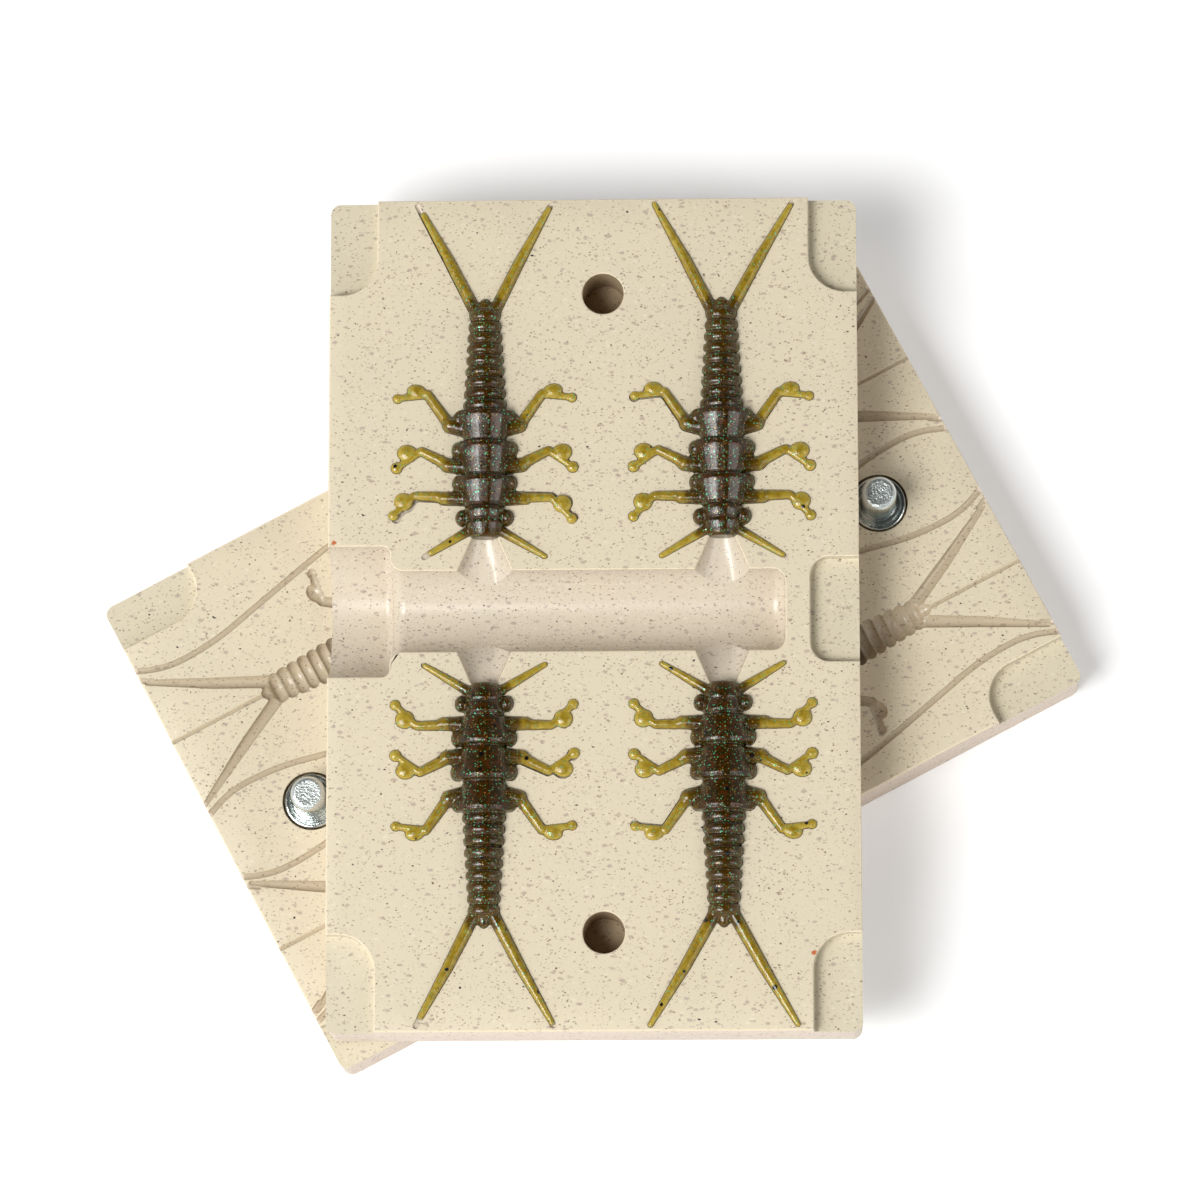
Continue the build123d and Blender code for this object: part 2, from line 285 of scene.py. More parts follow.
def castStone(name, tint, roughness, grainStrength=1.0, gloss=0.35):
    material, tree, shader = newMaterial(name)
    where = inMillimetres(tree)
    wobble = addNode(tree, "ShaderNodeTexNoise", {"Vector": where, "Scale": 2.2, "Detail": 3.0, "Roughness": 0.6})
    centred = addNode(tree, "ShaderNodeVectorMath", {
        0: wobble.outputs["Color"], 1: (0.5, 0.5, 0.5)}, operation="SUBTRACT")
    pushed = addNode(tree, "ShaderNodeVectorMath", {
        0: centred.outputs[0], "Scale": 0.60}, operation="SCALE")
    bent = addNode(tree, "ShaderNodeVectorMath", {0: where, 1: pushed.outputs[0]}).outputs[0]
    drift = addNode(tree, "ShaderNodeTexNoise", {"Vector": where, "Scale": 0.09, "Detail": 3.0})
    colour = mixColour(tree, drift.outputs["Fac"], stoneSet["cream"], stoneSet["creamCool"])
    for seed, (scale, radius, share, soft, turn, stretch, grain, strength) in enumerate(stoneSet["layers"]):
        spot = grains(tree, bent, scale, radius, share, soft, 3.1 + 1.7 * seed, turn, stretch)
        seen = maths(tree, "MULTIPLY", spot, strength * grainStrength)
        colour = mixColour(tree, seen, colour, stoneSet[grain])
    for place in stoneSet["rustGrains"]:
        gap = addNode(tree, "ShaderNodeVectorMath", {0: bent, 1: place}, operation="DISTANCE").outputs[1]
        spot = addNode(tree, "ShaderNodeMapRange", {
            "Value": gap, "From Min": 0.42, "From Max": 0.28, "To Min": 0.0, "To Max": 0.95})
        colour = mixColour(tree, spot.outputs[0], colour, stoneSet["orangeGrain"])
    colour = mixColour(tree, 1.0, colour, tint, "MULTIPLY")
    tree.links.new(colour, shader.inputs["Base Color"])
    fine = addNode(tree, "ShaderNodeTexNoise", {"Vector": where, "Scale": 3.0, "Detail": 3.0})
    rough = addNode(tree, "ShaderNodeMapRange", {
        "Value": fine.outputs["Fac"], "To Min": roughness - 0.05, "To Max": roughness + 0.07})
    tree.links.new(rough.outputs[0], shader.inputs["Roughness"])
    bump = addNode(tree, "ShaderNodeBump", {
        "Height": fine.outputs["Fac"], "Strength": 0.06, "Distance": 0.00005})
    tree.links.new(bump.outputs[0], shader.inputs["Normal"])
    shader.inputs["Specular IOR Level"].default_value = gloss
    return material


# Zinc plate on the guide pins, with a hammered end
zincSet = {"bright": paint(236, 240, 238), "dull": paint(196, 206, 202)}


def zincPlate(name, dent, dentScale, roughness):
    material, tree, shader = newMaterial(name)
    where = inMillimetres(tree)
    cloud = addNode(tree, "ShaderNodeTexNoise", {"Vector": where, "Scale": 1.4, "Detail": 4.0})
    colour = mixColour(tree, cloud.outputs["Fac"], zincSet["bright"], zincSet["dull"])
    tree.links.new(colour, shader.inputs["Base Color"])
    rough = addNode(tree, "ShaderNodeMapRange", {
        "Value": cloud.outputs["Fac"], "To Min": roughness - 0.08, "To Max": roughness + 0.08})
    tree.links.new(rough.outputs[0], shader.inputs["Roughness"])
    dents = addNode(tree, "ShaderNodeTexNoise", {"Vector": where, "Scale": dentScale, "Detail": 3.0})
    bump = addNode(tree, "ShaderNodeBump", {
        "Height": dents.outputs["Fac"], "Strength": dent, "Distance": 0.0001})
    tree.links.new(bump.outputs[0], shader.inputs["Normal"])
    shader.inputs["Metallic"].default_value = 1.0
    return material


# Soft plastic of the castings: golden where it is thin, nearly black-brown where it is thick
plasticSet = {
    "thin": paint(184, 160, 62),
    "limb": paint(154, 128, 30),
    "joint": paint(88, 64, 4),
    "thick": paint(42, 30, 0),
    # edge: colour of the painted shade on the sides of limbs and bodies
    "edge": paint(62, 46, 0),
    "copper": paint(84, 40, 6),
    "green": paint(84, 190, 140),
    "gold": paint(176, 142, 62),
    "pepper": paint(14, 13, 16),
}


def softPlastic(name):
    material, tree, shader = newMaterial(name)
    where = inMillimetres(tree)
    bulk = addNode(tree, "ShaderNodeAttribute", attribute_name="bulk").outputs["Fac"]
    uneven = addNode(tree, "ShaderNodeTexNoise", {"Vector": where, "Scale": 1.1, "Detail": 4.0, "Roughness": 0.65})
    wave = addNode(tree, "ShaderNodeMapRange", {
        "Value": uneven.outputs["Fac"], "From Min": 0.3, "From Max": 0.7, "To Min": -0.30, "To Max": 0.30})
    depth = maths(tree, "ADD", bulk, wave.outputs[0])
    scaled = maths(tree, "DIVIDE", depth, 3.5)
    ramp = addNode(tree, "ShaderNodeValToRGB", {0: scaled})
    ramp.color_ramp.elements[0].position = 0.10
    ramp.color_ramp.elements[0].color = plasticSet["thin"]
    ramp.color_ramp.elements[1].position = 0.80
    ramp.color_ramp.elements[1].color = plasticSet["thick"]
    for position, tone in ((0.22, "limb"), (0.40, "joint")):
        ramp.color_ramp.elements.new(position).color = plasticSet[tone]
    colour = ramp.outputs[0]
    rust = addNode(tree, "ShaderNodeTexNoise", {"Vector": where, "Scale": 1.6, "Detail": 2.0})
    rusty = addNode(tree, "ShaderNodeMapRange", {
        "Value": rust.outputs["Fac"], "From Min": 0.46, "From Max": 0.60, "To Min": 0.0, "To Max": 0.6})
    dark = maths(tree, "SUBTRACT", scaled, 0.35, clamp=True)
    thickOnly = maths(tree, "MULTIPLY", rusty.outputs[0], maths(tree, "MULTIPLY", dark, 2.0, clamp=True))
    colour = mixColour(tree, thickOnly, colour, plasticSet["copper"])
    # Painted shade: the base colour darkens towards the edge colour where the surface turns from up to the side,
    # on the rims of round limbs and bodies
    rim = addNode(tree, "ShaderNodeAttribute", attribute_name="rim").outputs["Fac"]
    dim = addNode(tree, "ShaderNodeMapRange", {
        "Value": rim, "From Min": 0.15, "From Max": 0.70, "To Min": 0.72, "To Max": 0.0})
    colour = mixColour(tree, dim.outputs[0], colour, plasticSet["edge"])
    flakeSum = None
    for scale, radius, share, seed, flake in (
            (1.9, 0.24, 0.55, 2.3, "green"), (2.9, 0.28, 0.36, 6.1, "gold"),
            (2.6, 0.27, 0.45, 8.8, "green")):
        spot = grains(tree, where, scale, radius, share, 0.35, seed)
        colour = mixColour(tree, spot, colour, plasticSet[flake])
        flakeSum = spot if flakeSum is None else maths(tree, "MAXIMUM", flakeSum, spot)
    pepper = grains(tree, where, 0.60, 0.24, 0.34, 0.3, 4.4)
    colour = mixColour(tree, pepper, colour, plasticSet["pepper"])
    tree.links.new(colour, shader.inputs["Base Color"])
    tree.links.new(maths(tree, "MULTIPLY", flakeSum, 0.25), shader.inputs["Metallic"])
    fine = addNode(tree, "ShaderNodeTexNoise", {"Vector": where, "Scale": 5.0, "Detail": 3.0})
    bump = addNode(tree, "ShaderNodeBump", {
        "Height": fine.outputs["Fac"], "Strength": 0.55, "Distance": 0.00007})
    tree.links.new(bump.outputs[0], shader.inputs["Normal"])
    shader.inputs["Roughness"].default_value = 0.14
    shader.inputs["Specular IOR Level"].default_value = 0.60
    shader.inputs["Subsurface Weight"].default_value = 0.15
    shader.inputs["Subsurface Radius"].default_value = (0.0012, 0.0008, 0.0003)
    shader.inputs["Subsurface Scale"].default_value = 1.0
    return material


# Plates: one pattern in both halves, in mm, parting face at z = 0, port on the -X side
plateSet = {
    "width": 80.0, "length": 127.0, "thickness": 12.7, "corner": 1.5, "edge": 0.25,
    "offset": 1.55, "columnSpacing": 35.8, "snoutToCentre": 11.1,
    "portRadius": 10.0, "portLength": 9.4, "portCorner": 1.2,
    "sprueRadius": 6.2, "sprueShoulder": 2.0, "sprueEnd": 28.9, "sprueEndRadius": 2.0,
    "gateSnout": 1.95, "gateTrough": 4.1, "gateDepth": 0.86,
    "pocketDepth": 2.2, "pocketX": 7.3, "pocketY": 14.65, "pocketRadius": 5.5,
    "sideX": 7.4, "sideY": 8.0, "sideRadius": 2.9, "pocketFillet": 0.25,
    "mouth": 0.16, "boreRadius": 3.15, "boreDepth": 8.6, "pinSpacing": 97.5,
    "counterbore": 4.45, "counterboreDepth": 1.75, "stubRadius": 2.42, "stubDepth": 8.15,
}
columns = [plateSet["offset"] + side * plateSet["columnSpacing"] / 2 for side in (-1, 1)]


def plateBlank(name):
    size = plateSet
    rings = []
    edge, thick = size["edge"], size["thickness"]
    heights = [(edge - x, -thick + edge + z) for x, z in arc((0, 0), edge, -90, 0, 3)]
    heights += [(edge - x, -edge + z) for x, z in arc((0, 0), edge, 0, 90, 3)]
    for inset, z in heights:
        outline = roundedOutline(size["width"] / 2 - inset, size["length"] / 2 - inset, size["corner"] - inset)
        rings.append([(x, y, z) for x, y in outline])
    return solidOf(name, rings, 5.3)


def pocketTool(name, centre, halfX, halfY, radius):
    size = plateSet
    fillet, mouth, depth = size["pocketFillet"], size["mouth"], size["pocketDepth"]
    heights = [(fillet - x, -depth + fillet + z) for x, z in arc((0, 0), fillet, -90, 0, 4)]
    heights += [(0.0, -mouth), (-mouth - beyond, beyond)]
    rings = []
    for inset, z in heights:
        outline = roundedOutline(halfX - inset, halfY - inset, radius - inset, 12)
        rings.append([(centre[0] + x, centre[1] + y, z) for x, y in outline])
    return solidOf(name, rings)


def pocketTools():
    size = plateSet
    tools = []
    for sx in (-1, 1):
        for sy in (-1, 1):
            corner = (sx * size["width"] / 2, sy * size["length"] / 2)
            tools.append(pocketTool("pocket", corner, size["pocketX"], size["pocketY"], size["pocketRadius"]))
    tools.append(pocketTool("pocket", (size["width"] / 2, 0), size["sideX"], size["sideY"], size["sideRadius"]))
    return tools


def troughLine(grow):
    size = plateSet
    left = -size["width"] / 2 - beyond
    shoulder = -size["width"] / 2 + size["portLength"] + grow
    port = size["portRadius"] + grow
    sprue = size["sprueRadius"] + grow
    end = size["sprueEnd"] + grow
    corner = size["portCorner"] + grow
    inner = size["sprueShoulder"] - grow
    round_ = size["sprueEndRadius"] + grow
    line = [(left, port)]
    line += arc((shoulder - corner, port - corner), corner, 90, 0, 8)
    line += arc((shoulder + inner, sprue + inner), inner, 180, 270, 10)
    line += arc((end - round_, sprue - round_), round_, 90, 0, 12)
    return line


def troughTools():
    rings = []
    for x, radius in troughLine(0.0) + [(plateSet["sprueEnd"], 0.05)]:
        rings.append([(x, radius * c, radius * s) for c, s in arc((0, 0), 1.0, 0, 357.5, 143)])
    tools = [solidOf("trough", rings)]
    mouth = plateSet["mouth"]
    rings = []
    for grow, z in ((0.0, -mouth), (mouth + beyond, beyond)):
        line = troughLine(grow)
        ring = [(x, y, z) for x, y in line] + [(x, -y, z) for x, y in reversed(line)]
        rings.append(ring)
    tools.append(solidOf("troughMouth", rings))
    return tools


def gateTools():
    size = plateSet
    reach = size["snoutToCentre"]
    flare = (size["gateTrough"] - size["gateSnout"]) / (reach - size["sprueRadius"])
    tools = []
    for x in columns:
        for side in (-1, 1):
            rings = []
            for y in (size["sprueRadius"] * 0.5, reach, reach + 0.3):
                half = size["gateSnout"] + flare * max(0.0, reach - y)
                ring = []
                for c, s in arc((0, 0), 1.0, 0, 355, 71):
                    ring.append((x + half * c, side * y, half * size["gateDepth"] * s))
                rings.append(ring)
            tools.append(solidOf("gate", rings))
            rings = []
            for grow, z in ((0.0, -size["mouth"]), (size["mouth"] + beyond, beyond)):
                ring = []
                for y, sign in ((2.5, -1), (2.5, 1), (reach, 1), (reach, -1)):
                    half = size["gateSnout"] + flare * (reach - y) + grow
                    ring.append((x + sign * half, side * y, z))
                rings.append(ring)
            tools.append(solidOf("gateMouth", rings))
    return tools


def holeTool(name, place, profile):
    rings = [[(x + place[0], y + place[1], z) for x, y, z in ring] for ring in spunRings(profile, 72)]
    return solidOf(name, rings)


# The lure, in mm: snout at the origin, body along +Y, parting plane at z = 0
lureSet = {
    "sides": 32,
    "head": ((0.0, 1.75, 1.5, 0.2), (0.22, 2.05, 1.85, 0.6), (1.2, 2.5, 2.2, 1.0), (2.15, 2.72, 2.45, 1.0),
             (2.5, 2.7, 2.42, 1.0), (2.68, 2.6, 2.2, 1.0), (2.88, 2.78, 2.5, 1.0), (3.9, 2.95, 2.8, 1.0),
             (4.45, 2.95, 2.85, 1.0), (4.7, 2.8, 2.65, 1.0), (4.88, 2.5, 2.1, 0.7)),
    "segments": ((4.85, 4.6), (9.45, 5.35), (14.8, 4.8)),
    "abdomen": (19.5, 35.1),
    "ribCount": 9, "ribFirst": 3.25, "ribLast": 2.35, "flatness": 0.82,
    "front": ((3.0, 6.1, 1.15), (6.2, 6.1, 1.0), (6.9, 6.3, 0.8), (10.0, 6.35, 0.7), (10.3, 6.3, 0.62),
              (13.3, 3.3, 0.5)),
    "middle": ((3.0, 11.0, 1.2), (5.6, 11.2, 1.1), (6.6, 11.9, 0.85), (9.6, 13.4, 0.7), (10.0, 13.2, 0.6),
               (13.2, 10.9, 0.5)),
    "hind": ((3.2, 16.9, 1.3), (5.2, 17.4, 1.25), (5.9, 18.2, 0.85), (8.7, 22.2, 0.72), (9.2, 22.1, 0.6),
             (13.1, 21.6, 0.5)),
    "lobes": ((11.9, 5.4, 1.45, 1.4), (11.7, 13.1, 1.55, 1.35), (10.3, 22.6, 1.5, 1.15)),
    "toes": ((13.35, 3.2, 0.82), (13.3, 10.85, 0.9), (13.2, 21.55, 0.76)),
    "knobs": ((4.0, 8.35, 0.9, 1.25, 1.3), (4.05, 13.5, 0.95, 1.3, 1.35), (3.9, 18.3, 0.95, 1.2, 1.35)),
    "eye": (3.4, 3.1, 0.98, 1.25), "antenna": ((2.3, 1.2, 0.75), (5.5, -0.7, 0.6), (9.1, -2.85, 0.42)),
    "fork": ((1.3, 34.7, 0.95), (5.5, 42.8, 0.82), (10.4, 51.5, 0.42)),
}


def bodyRing(back, half, high, faceted):
    outer = min(2.8, 0.72 * half)
    strip = 0.36 * outer
    side = half - outer
    flat = ((half, 0.0), (half, 0.2 * high), (outer + 0.78 * side, 0.4 * high), (outer + 0.36 * side, 0.6 * high),
            (outer, 0.76 * high), ((outer + strip) / 2, 0.89 * high), (strip, 0.99 * high),
            (strip / 2, high), (0.0, high))
    quarter = []
    for step, (x, z) in enumerate(flat):
        turn = math.radians(90 * step / 8)
        quarter.append((faceted * x + (1 - faceted) * half * math.cos(turn),
                        faceted * z + (1 - faceted) * high * math.sin(turn)))
    top = quarter + [(-x, z) for x, z in reversed(quarter[:-1])]
    under = [(x, -z) for x, z in reversed(top[1:-1])]
    return [(x, back, z) for x, z in top + under]


def bodyStations(grow):
    stations = []
    for back, half, high, faceted in lureSet["head"]:
        stations.append((back, half, high, faceted))
    for start, length in lureSet["segments"]:
        end = start + length
        stations += [
            (start + 0.12, 2.85, 2.3, 0.8), (start + 0.32, 3.15, 2.6, 1.0), (start + 0.5 * length, 3.7, 3.0, 1.0),
            (start + 0.72 * length, 4.25, 3.3, 1.0), (end - 0.95, 4.45, 3.42, 1.0), (end - 0.68, 4.4, 3.42, 1.0),
            (end - 0.56, 4.2, 3.2, 1.0), (end - 0.42, 4.4, 3.38, 1.0), (end - 0.16, 4.2, 3.25, 1.0),
            (end - 0.02, 3.2, 2.5, 0.8)]
    start, end = lureSet["abdomen"]
    stations += [(start + 0.1, 2.55, 2.0, 0.0), (end, 1.7, 1.35, 0.0), (end + 0.5, 1.0, 0.8, 0.0)]
    stations[0] = (stations[0][0] - grow,) + stations[0][1:]
    return [(back, half + grow, high + grow, faceted) for back, half, high, faceted in stations]


def addRod(shape, near, far, nearRadius, farRadius, sides=20):
    start, end = Vector(near), Vector(far)
    along = (end - start).normalized()
    across = Vector((0, 0, 1)).cross(along).normalized()
    rings = []
    for centre, radius in ((start, nearRadius), (end, farRadius)):
        ring = []
        for c, s in arc((0, 0), radius, 0, 360 - 360 / sides, sides - 1):
            ring.append(tuple(centre + across * c + Vector((0, 0, s))))
        rings.append(ring)
    addRings(shape, rings)


def addBall(shape, centre, radii, turn=0.0):
    rings = []
    for flat, high in arc((0, 0), 1.0, -86, 86, 12):
        ring = []
        for c, s in arc((0, 0), flat, 0, 345, 23):
            x, y = radii[0] * c, radii[1] * s
            ring.append((centre[0] + x * math.cos(turn) - y * math.sin(turn),
                         centre[1] + x * math.sin(turn) + y * math.cos(turn), centre[2] + radii[2] * high))
        rings.append(ring)
    addRings(shape, rings)


def limbs(shape, grow, lean, short):
    bones = []
    for side in (-1, 1):
        for key in ("front", "middle", "hind", "antenna", "fork"):
            chain = []
            for place, (out, back, radius) in enumerate(lureSet[key]):
                share = place / (len(lureSet[key]) - 1)
                bend = lean.get((key, side), (0.0, 0.0))
                chain.append((side * (out + bend[0] * share), back + bend[1] * share, radius + grow))
            if short.get((key, side)):
                (x1, y1, r1), (x2, y2, r2) = chain[-2:]
                cut = short[(key, side)]
                chain[-1] = (x1 + (x2 - x1) * cut, y1 + (y2 - y1) * cut, r1 + (r2 - r1) * cut)
            for (x1, y1, r1), (x2, y2, r2) in zip(chain, chain[1:]):
                addRod(shape, (x1, y1, 0), (x2, y2, 0), r1, r2)
                bones.append((x1, y1, r1, x2, y2, r2))
            for x, y, radius in chain:
                addBall(shape, (x, y, 0), (radius, radius, radius))
        for (out, back, wide, long), key in zip(lureSet["lobes"], ("front", "middle", "hind")):
            bend = lean.get((key, side), (0.0, 0.0))
            place = (side * (out + bend[0] * 0.8), back + bend[1] * 0.8, 0)
            addBall(shape, place, (wide + grow, long + grow, 0.72 + grow), side * 0.2)
            bones.append((place[0], place[1], 0.7, place[0], place[1] + 0.1, 0.7))
        for (out, back, radius), key in zip(lureSet["toes"], ("front", "middle", "hind")):
            bend = lean.get((key, side), (0.0, 0.0))
            place = (side * (out + bend[0]), back + bend[1], 0)
            addBall(shape, place, (radius + grow, radius + grow, 0.7 * radius + grow))
        for out, back, wide, long, high in lureSet["knobs"]:
            addBall(shape, (side * out, back, 0), (wide + grow, long + grow, high + grow))
        out, back, wide, long = lureSet["eye"]
        addBall(shape, (side * out, back, 0), (wide + grow, long + grow, 1.3 + grow))
    return bones


# The abdomen's ribs repeat along it and narrow towards the tail
def ribTree():
    tree, given, result = newGeometryTree("abdomenRibs", (
        ("Rib", "NodeSocketObject", None), ("Count", "NodeSocketInt", 9), ("Start", "NodeSocketFloat", 0.0),
        ("Pitch", "NodeSocketFloat", 1.7), ("First Width", "NodeSocketFloat", 3.2),
        ("Last Width", "NodeSocketFloat", 2.3), ("Material", "NodeSocketMaterial", None)))
    begin = addNode(tree, "ShaderNodeCombineXYZ", {"Y": given.outputs["Start"]})
    step = addNode(tree, "ShaderNodeCombineXYZ", {"Y": given.outputs["Pitch"]})
    line = addNode(tree, "GeometryNodeMeshLine", {
        "Count": given.outputs["Count"], "Start Location": begin.outputs[0], "Offset": step.outputs[0]})
    number = addNode(tree, "GeometryNodeInputIndex")
    last = addNode(tree, "ShaderNodeMath", {0: given.outputs["Count"], 1: 1.0}, operation="SUBTRACT")
    width = addNode(tree, "ShaderNodeMapRange", {
        "Value": number.outputs[0], "From Max": last.outputs[0], "To Min": given.outputs["First Width"],
        "To Max": given.outputs["Last Width"]})
    spread = addNode(tree, "ShaderNodeCombineXYZ", {"X": width.outputs[0], "Y": 1.0, "Z": width.outputs[0]})
    rib = addNode(tree, "GeometryNodeObjectInfo", {"Object": given.outputs["Rib"]})
    placed = addNode(tree, "GeometryNodeInstanceOnPoints", {
        "Points": line.outputs[0], "Instance": rib.outputs["Geometry"], "Scale": spread.outputs[0]})
    real = addNode(tree, "GeometryNodeRealizeInstances", {0: placed.outputs[0]})
    coloured = addNode(tree, "GeometryNodeSetMaterial", {
        "Geometry": real.outputs[0], "Material": given.outputs["Material"]})
    tree.links.new(coloured.outputs[0], result.inputs[0])
    return tree


def ribMesh(grow, material):
    start, end = lureSet["abdomen"]
    pitch = (end - start) / lureSet["ribCount"]
    rings = []
    for along, share in ((-0.80, 0.76), (-0.68, 0.90), (-0.48, 0.975), (-0.2, 1.0), (0.2, 1.0), (0.48, 0.975),
                         (0.68, 0.90), (0.80, 0.76)):
        ring = []
        for c, s in arc((0, 0), share, 0, 351, 39):
            ring.append((c, along, s * lureSet["flatness"]))
        rings.append(ring)
    rib = solidOf("rib", rings)
    host = newObject("ribs", bpy.data.meshes.new("ribs"))
    mesh = runTree(host, ribTree(), {
        "Rib": rib, "Count": lureSet["ribCount"], "Start": start + pitch * 0.52, "Pitch": pitch,
        "First Width": lureSet["ribFirst"] + grow, "Last Width": lureSet["ribLast"] + grow, "Material": material})
    dropObject(rib)
    dropObject(host)
    return mesh


def bulkOf(points, bones):
    spans = [(0, 0.8, 2.2, 0, 4.5, 2.6), (0, 4.5, 3.4, 0, 19.3, 3.4), (0, 19.3, 3.0, 0, 34.8, 2.2)]
    deepest = np.zeros(len(points))
    for x1, y1, r1, x2, y2, r2 in spans + bones:
        start, run = np.array((x1, y1, 0.0)), np.array((x2 - x1, y2 - y1, 0.0))
        share = np.clip(((points - start) @ run) / max(run @ run, 1e-9), 0, 1)
        gap = np.linalg.norm(points - start - share[:, None] * run, axis=1)
        radius = r1 + (r2 - r1) * share
        deepest = np.maximum(deepest, radius * np.clip((2.0 - gap / radius) / 0.9, 0, 1))
    return deepest


def lureMesh(name, grow, voxel, keep, material, lean=None, short=None):
    parts = ([], [])
    addRings(parts, [bodyRing(*station) for station in bodyStations(grow)])
    bones = limbs(parts, grow, lean or {}, short or {})
    addBall(parts, (0, 35.5, 0), (1.0 + grow, 1.5 + grow, 0.95 + grow))
    core = bpy.data.meshes.new(name)
    core.from_pydata(parts[0], [], parts[1])
    bm = bmesh.new()
    bm.from_mesh(core)
    bm.from_mesh(ribMesh(grow, material))
    shape = newObject(name, meshOf(name, bm))
    remesh = shape.modifiers.new("remesh", "REMESH")
    remesh.mode = "VOXEL"
    remesh.voxel_size = voxel
    soften = shape.modifiers.new("soften", "SMOOTH")
    soften.factor = 0.5
    soften.iterations = 2
    if keep < 1.0:
        thin = shape.modifiers.new("thin", "DECIMATE")
        thin.ratio = keep
    shape.data = plainMesh(shape)
    points = np.empty(len(shape.data.vertices) * 3)
    shape.data.vertices.foreach_get("co", points)
    points = points.reshape(-1, 3)
    depth = 0.62 * bulkOf(points, bones) + 0.38 * np.abs(points[:, 2])
    mark = shape.data.attributes.new("bulk", "FLOAT", "POINT")
    mark.data.foreach_set("value", depth.astype(np.float32))
    # rim: how far each point faces up, used for the painted shade on the sides
    normals = np.array([normal.vector.z for normal in shape.data.vertex_normals], dtype=np.float32)
    mark = shape.data.attributes.new("rim", "FLOAT", "POINT")
    mark.data.foreach_set("value", np.clip(normals, 0.0, 1.0))
    return shape


# Vents of the lower half: side vents follow a path past the toes, straight ones leave the tails
ventSet = {
    "path": ((12.5, 63.5), (11.1, 60.0), (10.6, 56.4), (11.0, 50.0), (12.4, 44.0), (13.1, 41.0), (14.9, 33.0),
             (16.0, 28.0), (16.7, 21.0), (16.9, 13.0)),
    "radius": 0.50, "raise": 0.10, "tailRadius": 0.38, "tailStart": 46.0, "forkRadius": 0.42,
}


def ventTree():
    tree, given, result = newGeometryTree("ventSweep", (
        ("Paths", "NodeSocketGeometry", None), ("Radius", "NodeSocketFloat", 0.4),
        ("Material", "NodeSocketMaterial", None)))
    ring = addNode(tree, "GeometryNodeCurvePrimitiveCircle", {"Resolution": 16, "Radius": given.outputs["Radius"]})
    swept = addNode(tree, "GeometryNodeCurveToMesh", {
        "Curve": given.outputs["Paths"], "Profile Curve": ring.outputs[0], "Fill Caps": True})
    real = addNode(tree, "GeometryNodeRealizeInstances", {0: swept.outputs[0]})
    coloured = addNode(tree, "GeometryNodeSetMaterial", {
        "Geometry": real.outputs[0], "Material": given.outputs["Material"]})
    tree.links.new(coloured.outputs[0], result.inputs[0])
    return tree


def sweptTool(name, lines, radius, material):
    data = bpy.data.curves.new(name, "CURVE")
    data.dimensions = "3D"
    data.resolution_u = 6
    for line in lines:
        spline = data.splines.new("NURBS")
        spline.points.add(len(line) - 1)
        for point, place in zip(spline.points, line):
            point.co = (*place, 1.0)
        spline.order_u = 3
        spline.use_endpoint_u = True
    host = newObject(name, data)
    mesh = runTree(host, ventTree(), {"Radius": radius, "Material": material})
    dropObject(host)
    bm = bmesh.new()
    bm.from_mesh(mesh)
    bmesh.ops.remove_doubles(bm, verts=bm.verts, dist=1e-5)
    bmesh.ops.recalc_face_normals(bm, faces=bm.faces)
    return newObject(name, meshOf(name, bm))


def ventTools(material):
    size = ventSet
    sides, tails, forks = [], [], []
    out1, back1, _ = lureSet["fork"][-2]
    out2, back2, _ = lureSet["fork"][-1]
    slope = (out2 - out1) / (back2 - back1)
    start = plateSet["snoutToCentre"]
    for x in columns:
        for end in (-1, 1):
            tails.append([(x, end * size["tailStart"], 0.1), (x, end * 55.0, 0.1), (x, end * 66.0, 0.1)])
            for side in (-1, 1):
                first, second = size["path"][0], size["path"][1]
                lead = (first[0] + (first[0] - second[0]) * 0.6, first[1] + (first[1] - second[1]) * 0.6)
                line = [lead] + list(size["path"])
                sides.append([(x + side * out, end * back, size["raise"]) for out, back in line])
                forks.append([
                    (x + side * (out2 - slope), end * (start + back2 - 1.0), 0.0),
                    (x + side * (out2 + slope), end * (start + back2 + 1.0), 0.0),
                    (x + side * (out2 + 3 * slope), end * (start + back2 + 3.0), 0.0)])
    return [sweptTool("sideVents", sides, size["radius"], material),
            sweptTool("tailVents", tails, size["tailRadius"], material),
            sweptTool("forkVents", forks, size["forkRadius"], material)]


# Which material each face of a milled plate gets, by its place among the materials: 0 face, 1 milled trough, 2
# edge with painted highlight, 3 bore with painted shade, 4 side with painted light, 5 cavity with painted shade, 6
# pocket with painted shade
def finishOf(face, cavitySlot):
    size = plateSet
    x, y, z = face.center
    up = face.normal.z
    if abs(x) > size["width"] / 2 - 0.3 or abs(y) > size["length"] / 2 - 0.3:
        return 2 if z > -size["edge"] and up > 0.2 else 4
    if z > -size["mouth"] - 0.01 and 0.3 < up < 0.95:
        return 2
    if z > -0.02:
        return 0
    if math.hypot(x - size["offset"], abs(y) - size["pinSpacing"] / 2) < 4.6:
        return 3
    if x > 32.4 and abs(y) < 8.2 or abs(x) > 32.6 and abs(y) > 48.7:
        return 6
    column = min(columns, key=lambda place: abs(place - x))
    inGate = abs(x - column) < 4.6 and abs(y) < size["snoutToCentre"] + 0.3
    inTrough = abs(y) < size["portRadius"] + 0.3 and x < size["sprueEnd"] + 0.3
    return 1 if inGate or inTrough else cavitySlot


def finishFaces(plate, materials, cavitySlot):
    plate.data.materials.clear()
    for material in materials:
        plate.data.materials.append(material)
    for face in plate.data.polygons:
        face.material_index = finishOf(face, cavitySlot)


def placeMesh(piece, place):
    piece.data.transform(place @ Matrix.Scale(mm, 4))
    piece.data.shade_smooth()
    piece.data.set_sharp_from_angle(angle=math.radians(32))


def middleOf(node):
    low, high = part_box(node)
    return (low + high) / 2


